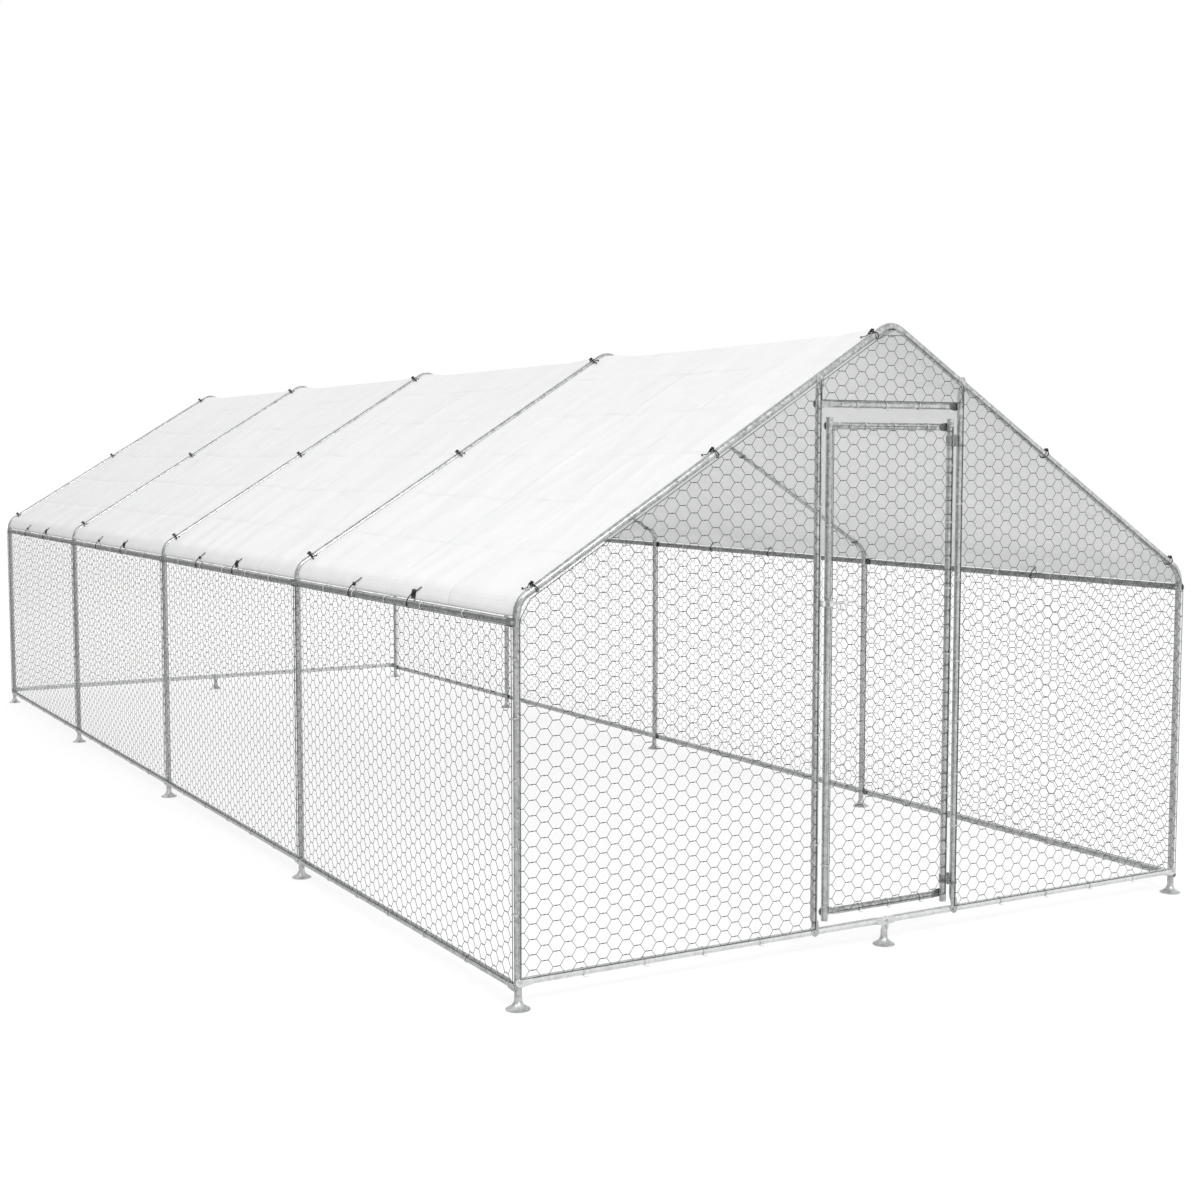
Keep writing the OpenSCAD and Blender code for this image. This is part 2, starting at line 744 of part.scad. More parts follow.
module hinge_pintles() {
    color("#4a4d4e") for (z = hinge_zs) translate([0, door_post_y, z]) {
        difference() {
            union() {
                translate([door_x, 0, 0]) cylinder(d = band_d + 2 * band_t, h = arm_h);
                translate([hinge_x, -pin_d / 2, 0]) cube([door_gap / 2, pin_d, arm_h]);
                translate([hinge_x, 0, 0]) cylinder(d = pin_d, h = arm_h + eye_h + pin_d / 2);
            }
            translate([door_x, 0, 0]) band_room(arm_h);
        }
    }
}

module hinge_eyes() {
    bore_d = pin_d + 2 * pin_clear;
    color("#4a4d4e") for (z = hinge_zs) translate([0, door_post_y, z + arm_h + 2 * fit]) {
        difference() {
            union() {
                translate([stile_x, 0, 0]) cylinder(d = band_d + 2 * band_t, h = eye_h);
                translate([stile_x, -pin_d / 2, 0]) cube([door_gap / 2, pin_d, eye_h]);
                translate([hinge_x, 0, 0]) cylinder(d = bore_d + 2 * eye_wall, h = eye_h);
            }
            translate([stile_x, 0, 0]) band_room(eye_h);
            translate([hinge_x, 0, -1]) cylinder(d = bore_d, h = eye_h + 2);
        }
    }
}

// Bolt on the latch side: guide on the door, keeper on the left post

module latch_holder(x0, x1, seat_x) {
    difference() {
        translate([x0, latch_y - latch_block / 2, latch_z - latch_block / 2])
            cube([x1 - x0, door_post_y - latch_y + latch_block / 2, latch_block]);
        translate([seat_x, door_post_y, latch_z - latch_block])
            cylinder(d = band_d, h = 2 * latch_block);
        translate([(x0 + x1) / 2, latch_y, latch_z]) children();
    }
}

module latch_guide() {
    color("#b4b9b9") latch_holder(guide_x0, guide_x1, -stile_x)
        rotate([0, 90, 0]) cylinder(d = latch_d + 2 * latch_clear, h = 2 * guide_l, center = true);
}

module latch_keeper() {
    eye = latch_d + 2 * keeper_clear;
    color("#b4b9b9") latch_holder(-door_x, keeper_x1, -door_x)
        cube([2 * latch_reach, eye, eye], center = true);
}

module latch_bolt() {
    color("#c4c8c8") translate([0, latch_y, latch_z]) {
        translate([nose_x, 0, 0]) rotate([0, 90, 0]) cylinder(d = latch_d, h = latch_l);
        translate([ring_x, 0, -ring_r]) rotate([90, 0, 0])
            rotate_extrude() translate([ring_r - ring_d / 2, 0]) circle(d = ring_d, $fn = 16);
    }
}

for (s = sides, i = [1:frames])
    on_side(s) post(i - 1);
rafters();  // rafters_left
mirror([1, 0, 0]) rafters();  // rafters_right
eave_elbows();
ridge_elbows();
for (s = sides) {
    on_side(s) rails_along(eave_z);
    on_side(s) rails_along(base_z);
}
ridge_poles();
end_base_rails("front");  // base_rails_front
end_base_rails("back");  // base_rails_back
post_feet();
middle_feet();
door_post(-door_x);  // door_post_left
door_post(door_x);  // door_post_right
door_header();
door_stile(-stile_x);  // door_stile_latch
door_stile(stile_x);  // door_stile_hinge
door_rail(leaf_top_z);  // door_rail_top
door_rail(leaf_bottom_z);  // door_rail_bottom
door_net();
for (s = sides, i = [1:bays])
    on_side(s) side_net(i - 1);
net_front_side();  // net_front_left
mirror([1, 0, 0]) net_front_side();  // net_front_right
net_front_top();
net_back();
for (i = [1:bays]) cover(i - 1);
cover_eyelets();
cover_ties();
cover_buckles();
net_ties();
frame_bolts();
fasteners("nuts");  // frame_nuts
door_rivets();
hinge_pintles();
hinge_eyes();
latch_guide();
latch_bolt();
latch_keeper();
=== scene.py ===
import math

import bmesh
import bpy
from mathutils import Matrix, Vector, noise


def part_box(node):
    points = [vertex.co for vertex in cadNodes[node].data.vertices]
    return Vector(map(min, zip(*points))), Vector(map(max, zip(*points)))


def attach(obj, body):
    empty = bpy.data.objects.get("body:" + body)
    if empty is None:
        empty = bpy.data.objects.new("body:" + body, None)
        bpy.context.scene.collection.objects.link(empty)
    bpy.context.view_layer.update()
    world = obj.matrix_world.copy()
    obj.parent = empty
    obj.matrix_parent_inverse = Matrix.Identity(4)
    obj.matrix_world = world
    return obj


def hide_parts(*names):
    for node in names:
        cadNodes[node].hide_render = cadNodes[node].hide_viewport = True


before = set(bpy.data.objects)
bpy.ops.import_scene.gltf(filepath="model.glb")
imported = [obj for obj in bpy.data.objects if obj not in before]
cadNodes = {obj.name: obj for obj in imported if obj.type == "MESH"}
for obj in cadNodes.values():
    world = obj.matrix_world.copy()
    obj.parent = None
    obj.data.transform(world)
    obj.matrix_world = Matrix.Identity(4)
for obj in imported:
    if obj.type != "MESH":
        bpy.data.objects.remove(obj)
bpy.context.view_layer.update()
scene = bpy.context.scene

# The run's own sizes, in metres, as the CAD model has them
run = {
    "postX": 1.4875, "endY": 3.9875, "bays": 4, "eaveH": 1.310, "ridgeH": 2.235,
    "tubeR": 0.0125, "bendR": 0.080, "railOut": 0.0049, "baseZ": 0.075, "endZ": 0.091,
    "eaveDrop": 0.022, "coverMid": 0.0, "hemZ": 1.2600, "coverSlot": 0.026,
    "doorX": 0.320, "stileX": 0.273, "doorPostY": -3.9948, "headerZ": 1.945,
    "leafTopZ": 1.870, "leafBottomZ": 0.155, "gableDrop": 0.016,
}
pitch = 2 * run["endY"] / run["bays"]
slope = math.atan((run["ridgeH"] - run["eaveH"]) / run["postX"])
rafterL = run["postX"] / math.cos(slope)
eaveTan = run["bendR"] * math.tan((math.pi / 2 - slope) / 2)
ridgeTan = run["bendR"] * math.tan(slope)
eaveC = Vector((-run["postX"] + run["bendR"], 0, run["eaveH"] - eaveTan))
ridgeC = Vector((0, 0, run["ridgeH"] - run["bendR"] / math.cos(slope)))
eaveZ = eaveC.z - run["eaveDrop"]
mirrorX = Matrix.Scale(-1, 4, (1, 0, 0))


def frameY(i):
    return -run["endY"] + i * pitch


def rafterPlace(i, s):  # local X runs up the left rafter, local Z stands square on the roof
    at = Vector((-run["postX"] + s * math.cos(slope), frameY(i), run["eaveH"] + s * math.sin(slope)))
    return Matrix.Translation(at) @ Matrix.Rotation(-slope, 4, "Y")


# Camera and light

view = {"at": (-3.918, -8.744, 1.755), "turn": (85.28, 0, -29.88), "lens": 51.2}
camera = bpy.data.objects.new("camera", bpy.data.cameras.new("camera"))
camera.location = view["at"]
camera.rotation_euler = [math.radians(a) for a in view["turn"]]
camera.data.lens = view["lens"]
camera.data.sensor_width = 36
camera.data.clip_end = 200
scene.collection.objects.link(camera)
scene.camera = camera
scene.view_settings.view_transform = "Standard"

studio = {
    "sky": 0.82, "backdrop": 1.0, "brightSide": -30, "sideGlow": 0.36, "glowTop": 0.8,
    "floor": 60, "floorGlow": 0.70, "floorShade": 0.36, "floorBounce": 0.74, "floorDim": 0.12,
    "floorExtra": 0.5, "floorNear": 3, "floorFar": 9,
    "lamps": [  # place, aim, size, watts
        ((-7, -6, 9), (0, 0, 0.8), 4, 115),
        ((-2, -13, 8), (0, 0, 1.5), 3, 440),
        ((-1, 10, 8), (0, 0, 1.2), 6, 90),
    ],
}


# Materials

class Value:  # a socket that takes part in Python sums
    def __init__(self, paint, socket):
        self.paint, self.socket = paint, socket

    def sum(self, operation, other, turned=False):
        pair = (other, self) if turned else (self, other)
        return self.paint.add("ShaderNodeMath", {"operation": operation}, {0: pair[0], 1: pair[1]})

    def __add__(self, other): return self.sum("ADD", other)
    def __radd__(self, other): return self.sum("ADD", other, True)
    def __sub__(self, other): return self.sum("SUBTRACT", other)
    def __rsub__(self, other): return self.sum("SUBTRACT", other, True)
    def __mul__(self, other): return self.sum("MULTIPLY", other)
    def __rmul__(self, other): return self.sum("MULTIPLY", other, True)

    def one(self, operation):
        return self.paint.add("ShaderNodeMath", {"operation": operation}, {0: self})


class Paint:
    def __init__(self, name, kind="materials", **fixed):
        self.block = getattr(bpy.data, kind).new(name)
        self.block.use_nodes = True
        self.tree = self.block.node_tree
        self.shader = self.tree.nodes.get("Principled BSDF")
        for socket, value in fixed.items():
            self.shader.inputs[socket.replace("_", " ")].default_value = value

    def add(self, kind, settings=None, sockets=None, out=0):
        node = self.tree.nodes.new(kind)
        for key, value in (settings or {}).items():
            if key == "stops":
                ramp = node.color_ramp
                while len(ramp.elements) < len(value):
                    ramp.elements.new(0.5)
                for stop, (place, colour) in zip(ramp.elements, value):
                    stop.position, stop.color = place, colour
            else:
                setattr(node, key, value)
        for key, value in (sockets or {}).items():
            self.join(value, node.inputs[key])
        return None if out is None else Value(self, node.outputs[out])

    def join(self, value, socket):
        if isinstance(value, Value):
            self.tree.links.new(value.socket, socket)
        else:
            socket.default_value = value

    def place(self, scale=(1, 1, 1), source="Object"):
        at = self.add("ShaderNodeTexCoord", out=source)
        return self.add("ShaderNodeMapping", None, {"Vector": at, "Scale": scale})

    def split(self, vector):
        first = self.add("ShaderNodeSeparateXYZ", None, {"Vector": vector})
        return [Value(self, socket) for socket in first.socket.node.outputs]

    def noise(self, at, scale, detail=4, rough=0.55):
        return self.add("ShaderNodeTexNoise", None,
                        {"Vector": at, "Scale": scale, "Detail": detail, "Roughness": rough})

    def ramp(self, value, *stops):
        full = [(place, (*colour, 1)) for place, colour in stops]
        return self.add("ShaderNodeValToRGB", {"stops": full}, {"Fac": value})

    def range(self, value, low, high, toLow=0.0, toHigh=1.0):
        return self.add("ShaderNodeMapRange", None,
                        {"Value": value, "From Min": low, "From Max": high,
                         "To Min": toLow, "To Max": toHigh})

    def mix(self, share, first, second):
        return self.add("ShaderNodeMix", {"data_type": "RGBA"},
                        {"Factor": share, 6: first, 7: second}, out=2)

    def bump(self, height, strength, distance):
        return self.add("ShaderNodeBump", None,
                        {"Height": height, "Strength": strength, "Distance": distance})

    def feed(self, **sockets):
        for socket, value in sockets.items():
            self.join(value, self.shader.inputs[socket.replace("_", " ")])
        return self.block


def lightStudio():  # brighter to one side at the height of the horizon, so that tubes show light and dark
    p = Paint("studio", "worlds")
    scene.world = p.block
    p.tree.nodes.clear()
    x, y, z = p.split(p.add("ShaderNodeTexCoord", out="Generated"))
    side = (x.sum("ARCTAN2", y) + math.radians(studio["brightSide"])).one("SINE")
    level = p.range(z, 0.0, studio["glowTop"], 1.0, 0.0)
    glow = side * level * studio["sideGlow"] + studio["sky"]
    sky = p.add("ShaderNodeBackground", None, {"Color": (1, 1, 1, 1), "Strength": glow})
    back = p.add("ShaderNodeBackground", None, {"Color": (1, 1, 1, 1), "Strength": studio["backdrop"]})
    seen = p.add("ShaderNodeLightPath", out="Is Camera Ray")
    shown = p.add("ShaderNodeMixShader", None, {0: seen, 1: sky, 2: back})
    p.add("ShaderNodeOutputWorld", None, {"Surface": shown}, out=None)
    for k, (place, aim, size, watts) in enumerate(studio["lamps"]):
        lamp = bpy.data.lights.new(f"softbox{k}", "AREA")
        lamp.shape = "DISK"
        lamp.size = size
        lamp.energy = watts
        obj = bpy.data.objects.new(lamp.name, lamp)
        obj.location = place
        obj.rotation_euler = (Vector(aim) - Vector(place)).to_track_quat("-Z", "Y").to_euler()
        scene.collection.objects.link(obj)


lightStudio()
print("studio: camera and light")


zinc = {
    "spangle": 95, "runStretch": (9, 9, 1.2), "runs": 3.0, "stain": 38, "shares": (0.38, 0.42, 0.20),
    "relief": 0.0006,
}


def galvanised(name, dark, light, rough=0.3, metal=0.9):  # zinc spangle with dull runs and stains
    p = Paint(name, Metallic=metal)
    at = p.place()
    spangle = p.add("ShaderNodeTexVoronoi", None, {"Vector": at, "Scale": zinc["spangle"]}, out="Color")
    runs = p.noise(p.place(zinc["runStretch"]), zinc["runs"], 5)
    stain = p.noise(at, zinc["stain"], 6, 0.65)
    cells = spangle * 1.0  # the cell's colour as a grey value
    tone = cells * zinc["shares"][0] + runs * zinc["shares"][1] + stain * zinc["shares"][2]
    middle = [(a + b) / 2 for a, b in zip(dark, light)]
    colour = p.ramp(tone, (0.25, dark), (0.5, middle), (0.72, light))
    dull = p.range(stain, 0.35, 0.7, rough - 0.06, rough + 0.16)
    return p.feed(Base_Color=colour, Roughness=dull + cells * 0.06,
                  Normal=p.bump(stain * 0.7 + cells * 0.3, 0.12, zinc["relief"]))


def wireFinish():
    p = Paint("nettingWire", Metallic=0.3)
    at = p.place()
    patch = p.noise(at, 14, 3)
    fleck = p.noise(at, 240, 4, 0.7)
    colour = p.ramp(patch * 0.6 + fleck * 0.4, (0.3, (0.050, 0.062, 0.054)),
                    (0.5, (0.082, 0.097, 0.086)), (0.7, (0.13, 0.146, 0.135)))
    return p.feed(Base_Color=colour, Roughness=p.range(fleck, 0.3, 0.7, 0.36, 0.6))


sheeting = {
    "thread": 0.0022, "waveBands": 20, "crinkle": 16, "cloud": 1.7, "streak": (6.5, 0.9, 1),
    # the crease shade share is painted shade: how far the crease lines are darkened towards grey in the
    # colour
    "creaseStep": (0.31, 0.5), "creaseLine": 0.010, "paintedCreaseShade": 0.28, "broken": 3.1, "wander": 0.012,
    "relief": 0.02, "white": ((0.84, 0.846, 0.843), (0.90, 0.905, 0.903), (0.95, 0.952, 0.95)),
}


def coverFinish():  # woven sheet with packing creases, painted shade darkening the crease lines, and streaks; its UV map is the flat cloth in metres
    p = Paint("whiteSheeting", IOR=1.45)
    flat = p.place(source="UV")
    across, along, _ = p.split(flat)
    scale = 1 / sheeting["thread"] / sheeting["waveBands"]
    warp, weft = (p.add("ShaderNodeTexWave", {"bands_direction": way},
                        {"Vector": flat, "Scale": scale, "Distortion": 0.3, "Detail": 1.0}) for way in "XY")
    crinkle = p.noise(flat, sheeting["crinkle"], 6, 0.6)
    cloud = p.noise(flat, sheeting["cloud"], 3)
    streak = p.noise(p.place(sheeting["streak"], "UV"), 1.0, 5, 0.6)
    wander = (cloud - 0.5) * sheeting["wander"]
    lines = 0
    for at, step in zip((along, across), sheeting["creaseStep"]):
        off = (((at + wander) * (1 / step)).one("FRACT") - 0.5).one("ABSOLUTE")
        lines = lines + p.range(off, 0.5 - sheeting["creaseLine"] / step, 0.5)
    lines = lines * p.range(p.noise(flat, sheeting["broken"], 2), 0.36, 0.66)
    tone = cloud * 0.3 + crinkle * 0.3 + streak * 0.4
    colour = p.ramp(tone, *zip((0.3, 0.5, 0.66), sheeting["white"]))
    # painted shade: the crease lines are darkened in the colour, standing in for the shade in the creases
    creaseShadedColour = p.mix(lines * sheeting["paintedCreaseShade"], colour, (0.70, 0.706, 0.704, 1))
    weave = p.mix(warp * weft * 0.25, creaseShadedColour, (0.82, 0.826, 0.824, 1))
    height = crinkle * 0.3 + streak * 0.9 - lines * 0.35 + (warp + weft) * 0.03
    return p.feed(Base_Color=weave, Roughness=p.range(crinkle, 0.3, 0.7, 0.42, 0.6),
                  Normal=p.bump(height, 0.35, sheeting["relief"]))


def rubberFinish():
    p = Paint("blackElastic")
    at = p.place()
    braid = p.add("ShaderNodeTexWave", {"bands_direction": "DIAGONAL"},
                  {"Vector": at, "Scale": 260, "Distortion": 1.5, "Detail": 2.0})
    dust = p.noise(at, 60, 5, 0.6)
    colour = p.ramp(dust * 0.7 + braid * 0.3, (0.3, (0.010, 0.010, 0.011)), (0.75, (0.032, 0.032, 0.034)))
    return p.feed(Base_Color=colour, Roughness=p.range(dust, 0.3, 0.7, 0.5, 0.78),
                  Normal=p.bump(braid, 0.5, 0.0006))


def plasticFinish():
    p = Paint("blackMoulding")
    at = p.place()
    grain = p.noise(at, 420, 3, 0.6)
    wear = p.noise(at, 45, 5)
    colour = p.ramp(wear, (0.35, (0.014, 0.014, 0.015)), (0.7, (0.034, 0.034, 0.036)))
    return p.feed(Base_Color=colour, Roughness=p.range(wear, 0.3, 0.7, 0.36, 0.55),
                  Normal=p.bump(grain, 0.3, 0.0004))


def floorFinish():  # plain to the camera, dimmer and brighter far out for what the tubes mirror
    p = Paint("paleFloor", Roughness=0.9, Specular_IOR_Level=0.05, Emission_Strength=studio["floorGlow"])
    at = p.place()
    cloud = p.noise(at, 0.6, 3)
    shade = studio["floorShade"]
    colour = p.ramp(cloud, (0.3, [shade * 0.98] * 3), (0.7, [shade] * 3))
    x, y, _ = p.split(at)
    a = math.radians(studio["brightSide"])
    side = x * math.cos(a) + y * math.sin(a)
    near, far = studio["floorNear"], studio["floorFar"]
    dim = p.range(side, -far, -near, studio["floorDim"], studio["floorBounce"])
    bounce = dim + p.range(side, near, far, 0.0, studio["floorExtra"])
    seen = p.add("ShaderNodeLightPath", out="Is Camera Ray")
    return p.feed(Base_Color=colour, Emission_Color=p.mix(seen, bounce, (1, 1, 1, 1)))


finishes = {
    "tube": galvanised("galvanisedTube", (0.30, 0.312, 0.31), (0.64, 0.653, 0.65), 0.22),
    # painted highlight: a paler copy of the galvanised finish for the base rails, standing in for the light
    # falling on them
    "highlightPaleTube": galvanised("paintedHighlightTube", (0.62, 0.635, 0.635), (0.86, 0.87, 0.865), 0.26),
    # painted shade: a darker copy of the galvanised finish for the eave rails, standing in for the shade
    # under the cover's hem
    "rail": galvanised("paintedShadeRail", (0.15, 0.157, 0.156), (0.42, 0.43, 0.428), 0.28),
    "foot": galvanised("galvanisedFoot", (0.42, 0.435, 0.43), (0.72, 0.73, 0.725), 0.32),
    "bolt": galvanised("zincBolt", (0.40, 0.41, 0.40), (0.72, 0.725, 0.70), 0.24),
    "hinge": galvanised("darkHinge", (0.16, 0.166, 0.168), (0.40, 0.408, 0.41), 0.34, 0.85),
    "latch": galvanised("brightLatch", (0.48, 0.49, 0.49), (0.80, 0.81, 0.80), 0.22),
    "tieWire": galvanised("brightTieWire", (0.62, 0.63, 0.625), (0.88, 0.885, 0.88), 0.3, 0.7),
    "eyelet": galvanised("plainEyelet", (0.55, 0.555, 0.55), (0.82, 0.82, 0.81), 0.25),
    "wire": wireFinish(), "cover": coverFinish(), "tie": rubberFinish(), "buckle": plasticFinish(),
    "floor": floorFinish(),
}
print("materials:", len(finishes))


# Building

def addPiece(name, bm, finish, body="run", replaces=()):
    bmesh.ops.remove_doubles(bm, verts=bm.verts, dist=1e-7)
    bmesh.ops.recalc_face_normals(bm, faces=bm.faces)
    mesh = bpy.data.meshes.new(name)
    bm.to_mesh(mesh)
    bm.free()
    mesh.polygons.foreach_set("use_smooth", [True] * len(mesh.polygons))
    mesh.materials.append(finishes[finish])
    obj = bpy.data.objects.new(name, mesh)
    scene.collection.objects.link(obj)
    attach(obj, body)
    if replaces:
        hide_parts(*replaces)
    return obj


def sweep(bm, points, radius, sides=6, closed=False):  # a ring drawn along a path, capped unless closed
    points = [Vector(p) for p in points]
    count = len(points)
    turn, places = None, []
    for k, here in enumerate(points):
        if closed:
            ahead = points[(k + 1) % count] - points[k - 1]
        else:
            ahead = points[min(k + 1, count - 1)] - points[max(k - 1, 0)]
        ahead.normalize()
        if turn is None:
            turn = ahead.to_track_quat("Z", "Y")
        else:
            turn = (turn @ Vector((0, 0, 1))).rotation_difference(ahead) @ turn
        places.append(Matrix.Translation(here) @ turn.to_matrix().to_4x4())
    ring = bmesh.ops.create_circle(bm, segments=sides, radius=radius, matrix=places[0])["verts"]
    first = last = list({e for v in ring for e in v.link_edges})
    for before, place in zip(places, places[1:]):
        grown = bmesh.ops.extrude_edge_only(bm, edges=last)["geom"]
        verts = [g for g in grown if isinstance(g, bmesh.types.BMVert)]
        last = [g for g in grown if isinstance(g, bmesh.types.BMEdge)]
        bmesh.ops.transform(bm, matrix=place @ before.inverted(), verts=verts)
    if closed:
        bmesh.ops.bridge_loops(bm, edges=first + last)
    else:
        bmesh.ops.holes_fill(bm, edges=first + last, sides=sides)


def smoothPath(points, steps=3, closed=False):  # rounds a path through its points
    points = [Vector(p) for p in points]
    count = len(points)
    made = []
    for k in range(count if closed else count - 1):
        if closed:
            a, b, c, d = (points[(k + j) % count] for j in (-1, 0, 1, 2))
        else:
            a, b, c, d = (points[min(max(k + j, 0), count - 1)] for j in (-1, 0, 1, 2))
        for j in range(steps):
            t = j / steps
            made.append(0.5 * (2 * b + (c - a) * t + (2 * a - 5 * b + 4 * c - d) * t * t
                               + (3 * b - a - 3 * c + d) * t ** 3))
    return made if closed else made + [points[-1]]


def stamp(bm, mesh, place):  # adds a moved copy of a small mesh
    copy = mesh.copy()
    copy.transform(place)
    bm.from_mesh(copy)
    bpy.data.meshes.remove(copy)


def smallMesh(bm, name):
    mesh = bpy.data.meshes.new(name)
    bm.to_mesh(mesh)
    bm.free()
    return mesh


# Netting: one wire period, repeated over the panel and cut to its outline

netting = {
    "cell": 0.050, "wire": 0.0021, "twistShare": 0.94, "edgeWire": 0.0028, "edgeStep": 0.25, "lift": 0.0009,
}


def nettingUnit():
    side = netting["cell"] / math.sqrt(3)
    twist = side * netting["twistShare"]
    coil = netting["wire"] / 2
    bm = bmesh.new()
    for up in (1, -1):
        path = []
        for mid, level, start in ((0, 0, 90), (1.5 * side, up * netting["cell"] / 2, -90), (3 * side, 0, 90)):
            for k in range(5):
                x = mid + (k / 4 - 0.5) * twist
                if -1e-6 <= x <= 3 * side + 1e-6:
                    a = math.radians(start + 90 * k)
                    path.append((x, coil * math.cos(a) * up, level + coil * math.sin(a) * up))
        sweep(bm, path, netting["wire"] / 2, 3)
    caps = [f for f in bm.faces if len(f.verts) == 3]
    bmesh.ops.delete(bm, geom=caps, context="FACES_ONLY")
    return smallMesh(bm, "nettingUnit"), 3 * side


unitMesh, unitWidth = nettingUnit()


def nettingPanel(node, outline, place, body="run"):
    low = [min(p[k] for p in outline) for k in (0, 1)]
    high = [max(p[k] for p in outline) for k in (0, 1)]
    obj = bpy.data.objects.new("panelUnit", unitMesh)
    scene.collection.objects.link(obj)
    for axis, step in ((0, unitWidth), (2, netting["cell"])):
        span = high[axis // 2] - low[axis // 2]
        array = obj.modifiers.new("repeat", "ARRAY")
        array.use_relative_offset = False
        array.use_constant_offset = True
        array.constant_offset_displace = [step if k == axis else 0 for k in range(3)]
        array.count = math.ceil(span / step) + 2
        array.use_merge_vertices = axis == 0
        array.merge_threshold = 1e-5
    mesh = bpy.data.meshes.new_from_object(obj.evaluated_get(bpy.context.evaluated_depsgraph_get()))
    bpy.data.objects.remove(obj)
    bm = bmesh.new()
    bm.from_mesh(mesh)
    bpy.data.meshes.remove(mesh)
    start = Vector((low[0] - unitWidth / 2, 0, low[1] - netting["cell"] / 2))
    bmesh.ops.translate(bm, vec=start, verts=bm.verts)
    centre = [sum(p[k] for p in outline) / len(outline) for k in (0, 1)]
    for p, q in zip(outline, outline[1:] + outline[:1]):
        out = Vector((q[1] - p[1], 0, p[0] - q[0]))
        if out.dot(Vector((p[0] - centre[0], 0, p[1] - centre[1]))) < 0:
            out = -out
        bmesh.ops.bisect_plane(bm, geom=bm.verts[:] + bm.edges[:] + bm.faces[:], dist=1e-7,
                               plane_co=(p[0], 0, p[1]), plane_no=out, clear_outer=True)
    cut = [e for e in bm.edges if e.is_boundary]
    bmesh.ops.holes_fill(bm, edges=cut, sides=6)
    rim = []
    for p, q in zip(outline, outline[1:] + outline[:1]):
        start, way = Vector((p[0], 0, p[1])), Vector((q[0] - p[0], 0, q[1] - p[1]))
        parts = max(2, int(math.dist(p, q) / netting["edgeStep"]))
        rim += [start + way * k / parts for k in range(parts)]
    sweep(bm, rim, netting["edgeWire"] / 2, 5, closed=True)
    bmesh.ops.transform(bm, matrix=place, verts=bm.verts)
    addPiece("mesh_" + node, bm, "wire", body, [node])


def boxOutline(x0, z0, x1, z1):
    return [(x0, z0), (x1, z0), (x1, z1), (x0, z1)]


def gableZ(x):
    return run["eaveH"] + (run["postX"] - abs(x)) * math.tan(slope) - run["gableDrop"]


def makeNets():
    quarter = Matrix.Rotation(math.pi / 2, 4, "Z")
    for side in ("left", "right"):
        for i in range(1, run["bays"] + 1):
            node = f"net_{side}_{i}"
            low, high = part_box(node)
            mid = (low.x + high.x) / 2
            nettingPanel(node, boxOutline(low.y, low.z, high.y, high.z),
                         Matrix.Translation((mid, 0, 0)) @ quarter)

    def planeOf(node, out):
        low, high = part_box(node)
        return low, high, Matrix.Translation((0, (low.y + high.y) / 2 + out, 0))

    low, high, place = planeOf("net_front_left", -netting["lift"])
    corner = [(-run["postX"] + eaveTan * math.cos(slope),
               run["eaveH"] + eaveTan * math.sin(slope) - run["gableDrop"]),
              (low.x, eaveC.z - run["gableDrop"])]
    left = [(low.x, low.z), (high.x, low.z), (high.x, high.z)] + corner
    nettingPanel("net_front_left", left, place)
    nettingPanel("net_front_right", [(-x, z) for x, z in reversed(left)], place)
    low, high, place = planeOf("net_front_top", -netting["lift"])
    top = [(low.x, low.z), (high.x, low.z), (high.x, gableZ(high.x)), (ridgeTan, gableZ(ridgeTan)),
           (-ridgeTan, gableZ(ridgeTan)), (low.x, gableZ(low.x))]
    nettingPanel("net_front_top", top, place)
    low, high, place = planeOf("net_back", netting["lift"])
    half = [(-ridgeTan, gableZ(ridgeTan))] + corner + [(low.x, low.z)]
    nettingPanel("net_back", half + [(-x, z) for x, z in reversed(half)], place)
    low, high, place = planeOf("door_net", -netting["lift"])
    nettingPanel("door_net", boxOutline(low.x, low.z, high.x, high.z), place, "door")


makeNets()
bpy.data.meshes.remove(unitMesh)
print("netting done")


# Covers: each a flat sheet laid over the frames, with sag, tension folds, packing creases and hems

cover = {
    "grid": 0.017, "thick": 0.0008, "sag": 0.015, "ridgeDip": 0.0137,
    "fold": 0.0050, "foldStep": 0.31, "foldReach": 0.5, "wrinkle": 0.0085,
    "crease": 0.0032, "creaseHalf": 0.011,
    "hem": 0.028, "hemEdge": 0.004, "hemStep": 0.006, "hemRise": 0.0009,
    # where each hold on the sheet ends, and where it is fully loose
    "sideHold": (0.01, 0.22), "hemHold": (0.06, 0.3), "poleHold": (0.02, 0.5), "dipHold": (0.04, 0.3),
    "foldStart": (0.03, 0.12), "foldSide": (0.0, 0.1),
}


coverR = run["bendR"] + run["coverMid"]
coverParts = {  # lengths along the sheet from the hem to the ridge
    "hem": eaveC.z - run["hemZ"], "eave": coverR * (math.pi / 2 - slope),
    "straight": rafterL - eaveTan - ridgeTan, "ridge": coverR * slope,
}
coverHalf = sum(coverParts.values())


